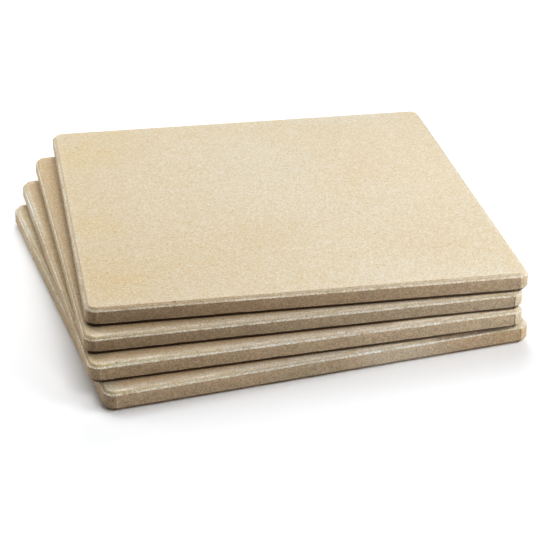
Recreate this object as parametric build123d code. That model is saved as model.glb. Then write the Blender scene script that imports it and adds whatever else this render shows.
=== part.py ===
from build123d import *

import math
import os

# Four square pressed baking stones, stacked loose and fanned by a few degrees.
# Lengths are millimetres. The origin is the centre of the lowest stone's underside,
# +Z is up, -Y is the front, and the lowest stone lies square to X and Y.

# Size of one stone, as the mould is cut
stone_side = 190.5
stone_thickness = 8.8

# Rim round the baking face: a small lip, then a bevel down to the side wall
lip_drop = 0.3
lip_width = 0.2
bevel_drop = 1.15
bevel_width = 1.3

# Undercut below the side wall, which leaves finger room between stacked stones
foot_height = 2.2
foot_inset = 1.8

# Corners, pressed by inserts of the mould: each one runs from seam to seam,
# bulges a little less than a true quarter round, and stands proud of the side walls
corner_reach = 4.8
corner_break_angle = 7.0
corner_proud = 0.12

# The stack, from the lowest stone up. Pressing leaves each stone a little thicker or
# thinner than the mould's depth. The turns are in degrees, as seen from above, and the
# places of the centres are shares of the stone's side
stone_names = ("bottom_stone", "second_stone", "third_stone", "top_stone")
thickness_shares = (1.05, 1.0, 0.95, 1.01)
fan_turns = (0.0, -3.2, -5.75, -8.23)
right_shift_shares = (0.0, 0.005, 0.027, 0.060)
back_shift_shares = (0.0, 0.016, 0.038, 0.055)

quarter_turn = 90.0


def corner_arc(inset):
    """Radius, centre distance and seam angle of the front right corner's outline."""
    break_angle = math.radians(corner_break_angle)
    centre_reach = corner_reach / (1 - math.tan(break_angle))
    radius = centre_reach / math.cos(break_angle) - inset
    return radius, stone_side / 2 - centre_reach, break_angle


def corner_run(inset):
    """One quarter of an outline: the front wall, its seam steps and the right corner."""
    radius, centre, break_angle = corner_arc(inset)
    seam = centre + radius * math.sin(break_angle)
    proud_face = centre + radius * math.cos(break_angle)
    wall_face = stone_side / 2 - corner_proud - inset
    middle = centre + radius / math.sqrt(2)
    wall = Line((-seam, -wall_face), (seam, -wall_face))
    step_out = Line((seam, -wall_face), (seam, -proud_face))
    corner = ThreePointArc((seam, -proud_face), (middle, -middle), (proud_face, -seam))
    step_in = Line((proud_face, -seam), (wall_face, -seam))
    return [wall, step_out, corner, step_in]


def outline(inset, height):
    """Closed outline of a stone at a height, drawn in by an inset all round."""
    edges = []
    for side in range(4):
        turn = Location((0, 0, height), (0, 0, side * quarter_turn))
        for edge in corner_run(inset):
            edges.append(edge.moved(turn))
    return Wire(edges)


def stone_levels(thickness):
    """Inset and height of each edge line of the pressed section, from the foot up."""
    bevel_top = thickness - lip_drop
    wall_top = bevel_top - bevel_drop
    return (
        (foot_inset, 0),
        (0, foot_height),
        (0, wall_top),
        (bevel_width, bevel_top),
        (bevel_width + lip_width, thickness),
    )


def stone_body(thickness):
    """One stone at the origin, lying on its foot, as one closed solid."""
    sections = []
    for inset, height in stone_levels(thickness):
        sections.append(outline(inset, height))
    return Solid.make_loft(sections, ruled=True)


def stone_place(order, height):
    """Where a stone of the stack lies, with its foot at the given height."""
    right = right_shift_shares[order] * stone_side
    back = back_shift_shares[order] * stone_side
    return Location((right, back, height), (0, 0, fan_turns[order]))


def main():
    """Write one file for each stone, each one resting on the stone below."""
    os.makedirs("parts", exist_ok=True)
    height = 0
    for order, name in enumerate(stone_names):
        thickness = thickness_shares[order] * stone_thickness
        stone = stone_body(thickness).moved(stone_place(order, height))
        export_step(stone, f"parts/{name}.step")
        height += thickness


main()
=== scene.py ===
"""A fanned stack of pressed baking stones, dressed for a studio picture.

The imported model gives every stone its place. Each one is modelled again here as a finer
skin, with a crumbled rim, mould seams, pits and flush grains of sand, and rides on its own
body, so that it lifts off with it.
"""

import logging
import math
import random
from collections.abc import Callable
from dataclasses import dataclass, field
from enum import Enum

import bpy
from mathutils import Matrix, Vector, geometry, noise

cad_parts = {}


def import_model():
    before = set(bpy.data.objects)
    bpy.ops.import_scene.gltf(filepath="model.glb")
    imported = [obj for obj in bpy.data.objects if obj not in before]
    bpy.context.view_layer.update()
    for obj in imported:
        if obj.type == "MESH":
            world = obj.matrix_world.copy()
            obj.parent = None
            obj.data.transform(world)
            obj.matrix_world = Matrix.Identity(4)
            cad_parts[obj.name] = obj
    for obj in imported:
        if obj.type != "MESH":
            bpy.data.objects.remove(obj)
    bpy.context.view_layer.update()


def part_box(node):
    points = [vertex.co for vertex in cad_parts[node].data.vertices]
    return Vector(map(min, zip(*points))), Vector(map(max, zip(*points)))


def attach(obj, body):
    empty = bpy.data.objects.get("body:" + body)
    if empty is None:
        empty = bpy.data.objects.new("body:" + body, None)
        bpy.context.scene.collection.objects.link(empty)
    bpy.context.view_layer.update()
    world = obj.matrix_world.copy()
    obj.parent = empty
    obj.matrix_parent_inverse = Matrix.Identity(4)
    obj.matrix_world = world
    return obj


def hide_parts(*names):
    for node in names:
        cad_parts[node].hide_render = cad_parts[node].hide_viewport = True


LOG = logging.getLogger("baking_stones")

MM = 0.001
PER_MM = 1 / MM

# Sockets: one of them, all that a node gives, and all that it takes
Wire = bpy.types.NodeSocket
Wires = bpy.types.NodeOutputs
Inputs = bpy.types.NodeInputs

# A screen colour from 0 to 255, a linear colour with alpha, and the two ends of a range
Screen = tuple[int, int, int]
Tint = tuple[float, float, float, float]
Range = tuple[float, float]

# A value for each of four sides or corners, and a point's place, depth and darkness
Sides = tuple[float, float, float, float]
Spot = tuple[float, float, float, float]

# The rises in millimetres between which the wall's colour gives way to the rim's
WALL_EDGE: Range = (-0.08, 0.12)


def linear(screen: Screen) -> Tint:
    """Turns a screen colour into the linear colour that shaders take.

    Args:
        screen: Red, green and blue on screen, 0 to 255.

    Returns:
        The linear colour with full alpha.
    """
    parts = []
    for part in screen:
        share = part / 255
        parts.append(share / 12.92 if share <= 0.04045 else ((share + 0.055) / 1.055) ** 2.4)
    return (parts[0], parts[1], parts[2], 1.0)


def grey(level: float) -> Tint:
    """A neutral linear colour."""
    return (level, level, level, 1.0)


def clipped(value: float) -> float:
    """Keeps a value within 0 to 1."""
    return min(1.0, max(0.0, value))


def heading(bearing: float, elevation: float) -> Vector:
    """The direction of a bearing, from +Y towards +X, and an elevation, both in degrees."""
    turn, rise = math.radians(bearing), math.radians(elevation)
    return Vector((math.sin(turn) * math.cos(rise), math.cos(turn) * math.cos(rise),
                   math.sin(rise)))


def linked(name: str, data: bpy.types.ID) -> bpy.types.Object:
    """Puts a mesh, a light or a camera into the scene.

    Args:
        name: The object's name.
        data: The mesh, the light or the camera.

    Returns:
        The new object.
    """
    made = bpy.data.objects.new(name, data)
    bpy.context.scene.collection.objects.link(made)
    return made


class NodeBench:
    """Short words for adding and joining the nodes of one tree."""

    def __init__(self, tree: bpy.types.NodeTree) -> None:
        """Works on the given tree."""
        self.tree = tree

    def feed(self, value: object, socket: Wire) -> None:
        """Joins a socket to an input, or sets a plain value on it.

        Args:
            value: A socket to join, or a number or colour to set.
            socket: The input that takes it.
        """
        if isinstance(value, Wire):
            self.tree.links.new(value, socket)
        else:
            socket.default_value = value

    def add(self, kind: str, *values: object, **settings: object) -> bpy.types.Node:
        """Adds a node and feeds its first inputs.

        Args:
            kind: The node's type name.
            *values: What its inputs take, in their order.
            **settings: Properties to set on it.

        Returns:
            The new node.
        """
        node = self.tree.nodes.new(kind)
        for name, value in settings.items():
            setattr(node, name, value)
        for value, socket in zip(values, node.inputs):
            self.feed(value, socket)
        return node

    def node(self, kind: str, given: dict[str | int, object], **settings: object) -> Wires:
        """Adds a node and feeds the inputs that are named or numbered.

        Args:
            kind: The node's type name.
            given: What its inputs take.
            **settings: Properties to set on it.

        Returns:
            The node's outputs.
        """
        node = self.add(kind, **settings)
        for name, value in given.items():
            self.feed(value, node.inputs[name])
        return node.outputs

    def math(self, operation: str, first: object, second: object = 0.0) -> Wire:
        """Adds one step of arithmetic."""
        return self.add("ShaderNodeMath", first, second, operation=operation).outputs[0]

    def times(self, first: object, *others: object) -> Wire:
        """Multiplies values one after another."""
        for other in others:
            first = self.math("MULTIPLY", first, other)
        return first

    def vector(self, operation: str, first: object, second: object) -> Wires:
        """Adds one step of arithmetic on places, with Vector and Value outputs."""
        return self.add("ShaderNodeVectorMath", first, second, operation=operation).outputs

    def fade(self, value: object, start: float, end: float,
             low: float = 0.0, high: float = 1.0) -> Wire:
        """Turns a value into a soft step.

        Args:
            value: The socket to read.
            start: Where the step leaves low.
            end: Where the step reaches high.
            low: The result at start.
            high: The result at end.

        Returns:
            The result's socket.
        """
        return self.add("ShaderNodeMapRange", value, start, end, low, high,
                        interpolation_type="SMOOTHSTEP").outputs[0]

    def band(self, value: object, start: float, full: float, ease: float, end: float) -> Wire:
        """A soft band: it grows from start to full, and falls again from ease to end."""
        return self.times(self.fade(value, start, full), self.fade(value, ease, end, 1.0, 0.0))

    def mix(self, factor: object, first: object, second: object, blend: str = "MIX",
            clamp: bool = False) -> Wire:
        """Blends two colours.

        Args:
            factor: How much of the second shows, 0 to 1.
            first: The first colour or socket.
            second: The second colour or socket.
            blend: The blend's name.
            clamp: True to keep the result within 0 to 1.

        Returns:
            The blended colour's socket.
        """
        return self.node("ShaderNodeMix", {0: factor, 6: first, 7: second}, data_type="RGBA",
                         blend_type=blend, clamp_result=clamp)[2]

    def shaded(self, colour: object, shade: object) -> Wire:
        """Multiplies a colour by one value."""
        tint = self.add("ShaderNodeCombineColor", shade, shade, shade)
        return self.mix(1.0, colour, tint.outputs[0], "MULTIPLY")

    def clouds(self, place: object, size: object, detail: float = 2.0,
               roughness: float = 0.5) -> Wire:
        """Adds smooth noise.

        Args:
            place: The socket that gives the place.
            size: How far across one lump is, as a number or a socket.
            detail: Octaves of finer noise.
            roughness: How strong the finer octaves are.

        Returns:
            The noise's socket, about 0.5 on average.
        """
        scale = self.math("DIVIDE", 1.0, size)
        return self.node("ShaderNodeTexNoise", {"Vector": place, "Scale": scale,
                                                "Detail": detail, "Roughness": roughness})[0]

    def uneven(self, place: object, size: object, detail: float = 2.0,
               roughness: float = 0.5) -> Wire:
        """Smooth noise that is about zero on average."""
        return self.math("SUBTRACT", self.clouds(place, size, detail, roughness), 0.5)

    def cells(self, place: object, size: object) -> tuple[Wire, Wires]:
        """Adds a pattern of cells.

        Args:
            place: The socket that gives the place.
            size: How far it is from cell to cell, as a number or a socket.

        Returns:
            The distance from the cell's middle, and three numbers that each cell draws.
        """
        scale = self.math("DIVIDE", 1.0, size)
        found = self.node("ShaderNodeTexVoronoi", {"Vector": place, "Scale": scale})
        drawn = self.add("ShaderNodeSeparateColor", found["Color"])
        return found["Distance"], drawn.outputs

    def split(self, place: object) -> Wires:
        """The three parts of a place."""
        return self.add("ShaderNodeSeparateXYZ", place).outputs

    def joined(self, across: object, along: object, up: object) -> Wire:
        """A place or a size, from its three parts."""
        return self.add("ShaderNodeCombineXYZ", across, along, up).outputs[0]

    def value_of(self, name: str) -> Wire:
        """A value that the mesh carries."""
        return self.add("ShaderNodeAttribute", attribute_name=name).outputs["Fac"]

    def group(self, tree: bpy.types.NodeTree, **values: object) -> Wires:
        """Places a shared pattern in this tree."""
        return self.node("ShaderNodeGroup", values, node_tree=tree)


def open_material(name: str, roughness: float,
                  gloss: float = 0.5) -> tuple[bpy.types.Material, NodeBench, Inputs]:
    """Makes a material with one plain shader.

    Args:
        name: The material's name.
        roughness: The shader's roughness.
        gloss: The shader's specular level.

    Returns:
        The material, its bench and its shader's inputs.
    """
    material = bpy.data.materials.new(name)
    material.use_nodes = True
    shader = material.node_tree.nodes["Principled BSDF"].inputs
    shader["Roughness"].default_value = roughness
    shader["Specular IOR Level"].default_value = gloss
    return material, NodeBench(material.node_tree), shader


class Socket(Enum):
    """Kinds of socket on a node group."""

    PLACE = "NodeSocketVector"
    NUMBER = "NodeSocketFloat"
    WHOLE = "NodeSocketInt"
    MESH = "NodeSocketGeometry"


def add_sockets(tree: bpy.types.NodeTree, side: str, names: tuple[str, ...],
                kind: Socket = Socket.NUMBER) -> list[str]:
    """Adds named sockets to a node group.

    Args:
        tree: The node group.
        side: INPUT or OUTPUT.
        names: The sockets' names.
        kind: What they carry.

    Returns:
        The sockets' identifiers.
    """
    return [tree.interface.new_socket(name=name, in_out=side, socket_type=kind.value).identifier
            for name in names]


class Patterns:
    """The patterns that the stones' materials share, with lengths in millimetres.

    Each pattern is a node group of its own. Its function takes the group's bench, a place and
    the group's numbers, and gives what the group gives, in the same order.
    """

    def __init__(self) -> None:
        """Builds each pattern's node group once."""
        self.sand = self.group(self.pressed_sand, ("Grain",), ("Tone", "Fleck", "Relief"))
        self.mottle = self.group(self.kiln_mottle, ("Patch",), ("Patchy", "Cloudy"))
        self.pinholes = self.group(self.pinhole_mask, ("Spacing", "Radius", "Kept"), ("Hole",))
        self.chalk = self.group(self.chalk_wear, ("Rise", "Low", "High", "Ragged", "Worn"),
                                ("Mask",))
        self.sides = self.group(self.stone_sides, ("Front", "Right", "Back", "Left"),
                                ("Value",))
        self.streaks = self.group(self.scraped_streaks, ("Rise", "Width"), ("Streak",))

    def group(self, draw: Callable[..., tuple[Wire, ...]], takes: tuple[str, ...],
              gives: tuple[str, ...]) -> bpy.types.NodeTree:
        """Makes one pattern's node group.

        Args:
            draw: The pattern's function.
            takes: The names of the group's numbers.
            gives: The names of what it gives.

        Returns:
            The node group.
        """
        tree = bpy.data.node_groups.new(draw.__name__, "ShaderNodeTree")
        add_sockets(tree, "INPUT", ("Place",), Socket.PLACE)
        add_sockets(tree, "INPUT", takes)
        add_sockets(tree, "OUTPUT", gives)
        bench = NodeBench(tree)
        given = bench.add("NodeGroupInput").outputs[:len(takes) + 1]
        bench.add("NodeGroupOutput", *draw(bench, *given))
        return tree

    @staticmethod
    def pressed_sand(bench: NodeBench, place: Wire, grain: Wire) -> tuple[Wire, ...]:
        """Fine pressed sand, of grains a fraction of a millimetre across.

        Args:
            bench: The group's bench.
            place: The place in millimetres.
            grain: How far across one grain is.

        Returns:
            The grains' tone, a number that each grain draws, and their relief.
        """
        coarse = bench.clouds(place, grain, detail=3.0, roughness=0.65)
        distance, drawn = bench.cells(place, grain)
        speck = bench.times(bench.math("SUBTRACT", drawn[0], 0.5), 0.35)
        round_top = bench.times(bench.math("SUBTRACT", 1.0, distance), 0.5)
        return bench.math("ADD", speck, coarse), drawn[1], bench.math("ADD", round_top, coarse)

    @staticmethod
    def kiln_mottle(bench: NodeBench, place: Wire, patch: Wire) -> tuple[Wire, ...]:
        """Soft patches of tone, as a kiln leaves them.

        Args:
            bench: The group's bench.
            place: The place in millimetres.
            patch: How far across one patch is.

        Returns:
            The wide patches and the fine clouds, 0 to 1.
        """
        wide = bench.clouds(place, patch, detail=1.5)
        fine = bench.clouds(place, bench.times(patch, 0.12), detail=3.0, roughness=0.6)
        return bench.fade(wide, 0.32, 0.68), bench.fade(fine, 0.3, 0.7)

    @staticmethod
    def pinhole_mask(bench: NodeBench, place: Wire, spacing: Wire, radius: Wire,
                     kept: Wire) -> tuple[Wire, ...]:
        """Sparse pinholes and iron specks.

        Args:
            bench: The group's bench.
            place: The place in millimetres.
            spacing: How far it is from one place for a hole to the next.
            radius: A hole's usual radius.
            kept: The share of the places that hold a hole.

        Returns:
            A mask that is 1 in a hole.
        """
        distance, drawn = bench.cells(place, spacing)
        size = bench.times(radius, bench.fade(drawn[1], 0.0, 1.0, 0.5, 1.2))
        inside = bench.math("SUBTRACT", size, bench.times(distance, spacing))
        edge = bench.math("ADD", inside, bench.times(bench.uneven(place, 0.4), 0.3))
        return (bench.times(bench.fade(edge, 0.0, 0.12),
                            bench.math("LESS_THAN", drawn[0], kept)),)

    @staticmethod
    def chalk_wear(bench: NodeBench, place: Wire, rise: Wire, low: Wire, high: Wire,
                   ragged: Wire, worn: Wire) -> tuple[Wire, ...]:
        """Chalky wear in a ragged band along an edge.

        Args:
            bench: The group's bench.
            place: The place in millimetres.
            rise: How far the place is over the edge that wears.
            low: The rise where the band starts.
            high: The rise where it ends.
            ragged: How strongly noise moves its ends.
            worn: What is added to the patches, so that more of the band wears.

        Returns:
            A mask that is 1 on chalky wear.
        """
        fine = bench.times(bench.uneven(place, 0.8, 3.0, 0.6), ragged)
        rise = bench.math("ADD", rise, fine)
        over = bench.fade(bench.math("SUBTRACT", rise, low), -0.06, 0.1)
        below = bench.fade(bench.math("SUBTRACT", high, rise), -0.1, 0.35)
        patches = bench.math("ADD", bench.clouds(place, 7.0, 3.0, 0.6), worn)
        return (bench.times(over, below, bench.fade(patches, 0.35, 0.75)),)

    @staticmethod
    def stone_sides(bench: NodeBench, place: Wire, front: Wire, right: Wire, back: Wire,
                    left: Wire) -> tuple[Wire, ...]:
        """A value for each side of a stone, blended over the corners.

        Args:
            bench: The group's bench.
            place: The place in millimetres from the stone's middle.
            front: The value of the front side.
            right: The value of the right side.
            back: The value of the back side.
            left: The value of the left side.

        Returns:
            The value at the place.
        """
        across, along, _ = bench.split(place)
        front_back = bench.fade(along, -1.0, 1.0, front, back)
        left_right = bench.fade(across, -1.0, 1.0, left, right)
        sideways = bench.math("SUBTRACT", bench.math("ABSOLUTE", across),
                              bench.math("ABSOLUTE", along))
        return (bench.fade(sideways, -4.0, 4.0, front_back, left_right),)

    @staticmethod
    def scraped_streaks(bench: NodeBench, place: Wire, rise: Wire,
                        width: Wire) -> tuple[Wire, ...]:
        """Streaks that follow the rim round its corners, as the scraper leaves them.

        Args:
            bench: The group's bench.
            place: The place in millimetres.
            rise: How far the place is from the rim's edge, over the surface.
            width: How far across one streak is.

        Returns:
            The streaks, 0 to 1.
        """
        across, along, _ = bench.split(place)
        drawn_out = bench.joined(bench.times(across, 0.07), bench.times(along, 0.07), rise)
        return (bench.fade(bench.clouds(drawn_out, width, 3.0, 0.6), 0.38, 0.62),)


@dataclass(frozen=True)
class StonePlace:
    """Where a stone lies, so that its finish keeps to its own sides."""

    middle: tuple[float, float, float]
    turn: float

    @property
    def matrix(self) -> Matrix:
        """The stone's place in the stack."""
        return Matrix.Translation(self.middle) @ Matrix.Rotation(self.turn, 4, "Z")

    def own_place(self, bench: NodeBench) -> Wire:
        """The place in millimetres from the middle of the stone's foot, along its sides."""
        return bench.node("ShaderNodeMapping", {
            "Vector": bench.add("ShaderNodeTexCoord").outputs["Object"],
            "Location": self.matrix.inverted().translation * PER_MM,
            "Rotation": (0.0, 0.0, -self.turn), "Scale": (PER_MM, PER_MM, PER_MM)})["Vector"]


class Zone(Enum):
    """Part of a stone's surface: the rises where it starts and ends, and its end's softness."""

    WALL = (-9.0, -0.1, 1.5)
    EDGE_RIDGE = (-0.1, 0.4, 0.3)
    RIM = (0.0, 2.0, 1.5)
    UPPER_RIM = (0.4, 2.6, 1.5)
    BEVEL_BAND = (0.7, 1.45, 0.3)
    LIP_RIDGE = (1.75, 2.2, 0.3)
    MARGIN = (2.4, 6.0, 1.5)
    FACE = (3.0, 99.0, 1.5)


@dataclass(frozen=True)
class Mark:
    """A round mark on one stone; marks are stains, dusty spots, painted shadows and painted
    lights.

    Its place is in millimetres from the stone's middle, across to the right and along to the
    back, and it shows in one zone of the surface, where it tints the grains under it.
    """

    across: float
    along: float
    reach: float
    tint: tuple[float, float, float]
    zone: Zone


@dataclass(frozen=True)
class StoneLook:
    """How one stone lies, how it was fired and has worn, and the light and shade painted on it.

    Four values are for the front, right, back and left sides, or for the front right, back
    right, back left and front left corners.
    """

    turn: float
    wear: Sides
    # Painted light and shade: how bright each side wall is, for how the lamps fall on it
    wall_shades: Sides
    # How dark or light each corner's seams are: below 1 a dark seam line, above 1 a painted
    # highlight
    seams: Sides
    warm_side: tuple[float, float, float]
    # A browner band inside the margin: partly the stone's own colour, partly painted shade under
    # the stone above
    toast: Sides = (0.0, 0.2, 0.2, 0.4)
    # Where the warm painted shade under the stone above lies, side by side
    shelter: Sides = (1.0, 0.0, 0.0, 0.0)
    # How strongly the scraped streaks and their painted light lighten each side's margin
    streaks: Sides = (0.95, 0.5, 0.4, 0.1)
    # Painted shade on the rim of each side, most on the left side's rim
    rim_shades: Sides = (0.97, 1.0, 1.0, 0.86)
    # Painted light and shade on the corners: the front right corner lit by the lamps on the right,
    # the front left one in shade
    corner_shades: Sides = (1.08, 1.1, 1.0, 0.9)
    corner_dust: Sides = (0.5, 0.3, 0.2, 0.0)
    dust: Sides = (0.0, 0.1, 0.1, 0.15)
    # Painted shade: how dark the recess under the wall is painted
    recess: float = 0.46
    # How much of the painted light along the walls, darker at the left end and lighter at the
    # right, shows
    slope: float = 1.0
    marks: tuple[Mark, ...] = ()


@dataclass(frozen=True)
class Surface:
    """What a stone's material reads at each point.

    The place along the stone's own sides is own, the same turned by an eighth of a circle is
    eighth, and spot is the place that patterns follow, all in millimetres. The rise is the
    distance in millimetres from the rim's edge, measured over the surface: up the bevel it is
    above zero, and down the side wall below it. In the recess under the wall, under is 1.
    """

    bench: NodeBench
    own: Wire
    eighth: Wire
    spot: Wire
    rise: Wire
    under: Wire
    sand: Wires


@dataclass(frozen=True)
class StoneFinish:
    """Unglazed pressed cordierite: sandy, matt, chalky where the rim has worn.

    Colours are as on screen, tints multiply them, and lengths are in millimetres.
    """

    name: str
    place: StonePlace
    shift: tuple[float, float, float]
    patterns: Patterns
    look: StoneLook
    pale: Screen = (208, 200, 183)
    warm: Screen = (205, 188, 158)
    bevel: Screen = (180, 163, 135)
    # The wall's colour is darker and browner than the face's: partly its own colour, partly
    # painted shade
    wall: Screen = (184, 166, 144)
    # The browner band's colour, partly painted shade
    toasted: Screen = (188, 166, 138)
    # Painted shade: the warm, redder tone of a margin in the shade of the stone above
    sheltered: Screen = (219, 198, 170)
    # Pale streaks, made lighter to paint the light on the lower stones' exposed margins
    scraped: Screen = (237, 225, 208)
    lip: Screen = (205, 189, 164)
    rust: Screen = (175, 137, 96)
    chalk: Screen = (232, 228, 217)
    dull_chalk: Screen = (200, 189, 169)
    # The colour of pits and pinholes: partly dark specks, partly painted shade in the hollows
    hole: Screen = (82, 68, 52)
    dark_grain: Tint = (0.9, 0.85, 0.755, 1.0)
    light_grain: Tint = (1.078, 1.126, 1.225, 1.0)
    wall_grains: Range = (0.8, 1.21)
    grain_tones: Range = (0.2, 0.8)
    rusty_flecks: Range = (0.92, 0.96)
    rust_share: float = 0.3
    glassy_flecks: Range = (0.02, 0.05)
    glass_share: float = 0.35
    wall_glass: float = 0.2
    # Painted light: the walls darken towards their left ends and brighten towards their right ends
    left_end: Tint = (0.92, 0.91, 0.88, 1.0)
    right_end: Tint = (1.085, 1.14, 1.165, 1.0)
    end_place: float = 95.0
    grain: float = 0.55
    patch: float = 60.0
    patch_share: float = 0.25
    warm_start: float = -60.0
    warm_end: float = 110.0
    warm_share: float = 0.42
    streak_width: float = 0.7
    hole_spacing: float = 8.0
    hole_radius: float = 0.25
    holes_kept: float = 0.16
    hole_share: float = 0.8
    edge_soft: float = 0.1
    bevel_run: float = 1.74
    lip_run: float = 2.1
    lip_patch: float = 9.0
    lip_cover: Range = (0.15, 0.85)
    margin_run: float = 6.5
    wall_run: float = 5.2
    foot_height: float = 2.2
    seam_place: float = 90.45
    seam_width: float = 0.3
    brush_width: float = 0.6
    brush_squeeze: float = 0.08
    brush_shades: Range = (0.94, 1.06)
    cloud_shades: Range = (0.97, 1.03)
    # Painted light: the wall is darker at its foot and lighter towards its top
    height_shades: Range = (0.97, 1.04)
    wear_swing: float = 0.5
    chalk_share: float = 0.9
    bump: float = 0.08
    roughness: float = 0.93
    gloss: float = 0.25

    def material(self) -> bpy.types.Material:
        """Builds the material.

        Returns:
            The stone's material.
        """
        material, bench, shader = open_material(self.name, self.roughness, self.gloss)
        at = self.surface(bench)
        colour = self.sanded(at, self.body_colour(at))
        colour = self.fired(at, self.chalked(at, colour))
        # Painted shade: the recess under the wall is darkened
        colour = bench.shaded(colour, bench.fade(at.under, 0.0, 1.0, 1.0, self.look.recess))
        holes = bench.group(self.patterns.pinholes, Place=at.spot, Spacing=self.hole_spacing,
                            Radius=self.hole_radius, Kept=self.holes_kept)
        # Pits and pinholes are painted dark: painted shade in the hollows, and dark specks
        dark = bench.math("MAXIMUM", holes["Hole"], bench.value_of("pit"))
        colour = bench.mix(bench.times(dark, self.hole_share), colour, linear(self.hole))
        bench.feed(colour, shader["Base Color"])
        bench.feed(self.relief(at, dark), shader["Normal"])
        return material

    def surface(self, bench: NodeBench) -> Surface:
        """Reads what the material needs from the stone's place and mesh.

        Args:
            bench: The material's bench.

        Returns:
            The sockets to build on.
        """
        own = self.place.own_place(bench)
        eighth = bench.node("ShaderNodeVectorRotate", {"Vector": own, "Angle": -math.pi / 4},
                            rotation_type="Z_AXIS")["Vector"]
        spot = bench.vector("ADD", own, self.shift)["Vector"]
        sand = bench.group(self.patterns.sand, Place=spot, Grain=self.grain)
        return Surface(bench, own, eighth, spot, bench.value_of("rise"),
                       bench.value_of("under"), sand)

    def around(self, bench: NodeBench, place: Wire, values: Sides) -> Wire:
        """A value for each of four sides, or corners of the turned place, blended between."""
        given = dict(zip(("Front", "Right", "Back", "Left"), values))
        return bench.group(self.patterns.sides, Place=place, **given)["Value"]

    def body_colour(self, at: Surface) -> Wire:
        """The fired body's colour on the face, the rim and the wall, before its grains.

        Args:
            at: What the material reads.

        Returns:
            The colour's socket.
        """
        bench = at.bench
        mottle = bench.group(self.patterns.mottle, Place=at.spot, Patch=self.patch)
        mottled = bench.math("ADD", bench.times(mottle["Patchy"], self.patch_share),
                             bench.times(mottle["Cloudy"], self.patch_share))
        towards = bench.vector("DOT_PRODUCT", at.own, self.look.warm_side)["Value"]
        slope = bench.fade(towards, self.warm_start, self.warm_end, 0.0, self.warm_share)
        face = bench.mix(bench.math("ADD", mottled, slope), linear(self.pale), linear(self.warm))
        face = self.margin_colour(at, face)
        on_lip = bench.band(at.rise, self.bevel_run - 0.6, self.bevel_run, self.lip_run - 0.1,
                            self.lip_run + 0.9)
        broken = bench.fade(bench.clouds(at.spot, self.lip_patch, 3.0, 0.65), 0.36, 0.62,
                            *self.lip_cover)
        bevel = bench.mix(bench.fade(at.rise, 0.3, self.bevel_run), linear(self.bevel), face)
        colour = bench.mix(bench.times(on_lip, broken), bevel, linear(self.lip))
        on_wall = bench.fade(at.rise, *WALL_EDGE, 1.0, 0.0)
        return bench.mix(on_wall, colour, self.wall_colour(at, mottle["Cloudy"]))

    def margin_colour(self, at: Surface, face: Wire) -> Wire:
        """Adds painted shade, a browner band and streaks with painted light along the face's
        margin.

        Args:
            at: What the material reads.
            face: The face's colour.

        Returns:
            The colour's socket.
        """
        bench = at.bench
        wide = self.margin_run
        # Painted shade: a warm band of the margin under the stone above
        sheltered = bench.band(at.rise, self.lip_run + 1.0, wide, 2 * wide, 5 * wide)
        # A browner band inside the margin, partly painted shade
        toasted = bench.fade(at.rise, wide, 2 * wide, 1.0, 0.0)
        streak = bench.group(self.patterns.streaks, Place=at.spot, Rise=at.rise,
                             Width=self.streak_width)["Streak"]
        # The scraper's streaks, over a steady lightening that is painted light
        scraped = bench.times(bench.band(at.rise, self.bevel_run - 0.2, self.lip_run,
                                         self.lip_run, wide),
                              bench.fade(streak, 0.0, 1.0, 0.25, 1.0))
        for mask, sides, colour in ((sheltered, self.look.shelter, self.sheltered),
                                    (toasted, self.look.toast, self.toasted),
                                    (scraped, self.look.streaks, self.scraped)):
            strength = bench.times(mask, self.around(bench, at.own, sides))
            face = bench.mix(strength, face, linear(colour))
        return face

    def wall_colour(self, at: Surface, cloudy: Wire) -> Wire:
        """The side wall's colour, with its seams, the brush marks of its corners, and painted
        light and shade.

        Args:
            at: What the material reads.
            cloudy: The finer patches of the mottle.

        Returns:
            The colour's socket.
        """
        bench, look = at.bench, self.look
        across, along, _ = bench.split(at.own)
        nearer = bench.math("MINIMUM", bench.math("ABSOLUTE", across),
                            bench.math("ABSOLUTE", along))
        corner = bench.fade(nearer, self.seam_place, self.seam_place + 0.2)
        upright = bench.vector("MULTIPLY", at.own, (1.0, 1.0, self.brush_squeeze))["Vector"]
        brushed = bench.fade(bench.clouds(upright, self.brush_width), 0.3, 0.7,
                             *self.brush_shades)
        # Painted light and shade on each rounded corner
        shades = self.around(bench, at.eighth, look.corner_shades)
        rounded = bench.fade(corner, 0.0, 1.0, 1.0, bench.times(brushed, shades))
        off_seam = bench.math("ABSOLUTE", bench.math("SUBTRACT", nearer, self.seam_place))
        # Seam lines: dark ones, and painted highlights where the corner's value is above 1
        seams = self.around(bench, at.eighth, look.seams)
        seam = bench.fade(off_seam, 0.0, self.seam_width, seams, 1.0)
        clouded = bench.fade(cloudy, 0.0, 1.0, *self.cloud_shades)
        # Painted light and shade: each side's own brightness, lighter towards the top of the wall
        sides = bench.times(self.around(bench, at.own, look.wall_shades),
                            bench.fade(at.rise, -self.wall_run, 0.0, *self.height_shades))
        corner_dust = bench.times(corner, self.around(bench, at.eighth, look.corner_dust))
        dust = bench.math("MAXIMUM", self.around(bench, at.own, look.dust), corner_dust)
        colour = bench.mix(dust, linear(self.wall), linear(self.dull_chalk))
        # Painted light: the wall is darker at its left end and lighter at its right end, by the
        # look's slope
        ends = bench.mix(bench.fade(across, -self.end_place, self.end_place), self.left_end,
                         self.right_end)
        colour = bench.mix(look.slope, colour, ends, "MULTIPLY")
        return bench.shaded(colour, bench.times(rounded, seam, clouded, sides))

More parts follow.
